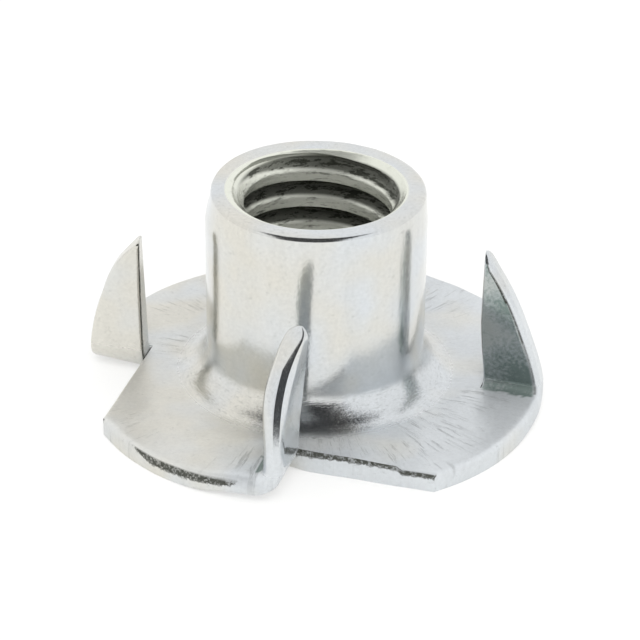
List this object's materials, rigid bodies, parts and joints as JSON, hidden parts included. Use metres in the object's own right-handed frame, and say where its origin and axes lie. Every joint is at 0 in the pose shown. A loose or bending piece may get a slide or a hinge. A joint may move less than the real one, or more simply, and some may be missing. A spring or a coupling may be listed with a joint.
{
  "type": "tee nut",
  "caption": "Stamped steel tee nut: a round flange with prongs bent up from its rim to bite into wood, and an internally threaded barrel drawn up from its middle.",
  "frame": {"origin": "on the bore's axis, in the plane of the flange's underside", "axes": "+Z along the bore's axis from the flange to the rim of the barrel, the way the nut goes into the wood; +X through the foot of one prong, and the other prongs follow at quarter turns"},
  "size_m": [0.0252, 0.0252, 0.012],
  "materials": {
    "zinc_plated_steel": "bright zinc plate over stamped steel, with fine drawing and handling scratches"
  },
  "bodies": {
    "root": {"tee_nut": "zinc_plated_steel"}
  },
  "joints": []
}
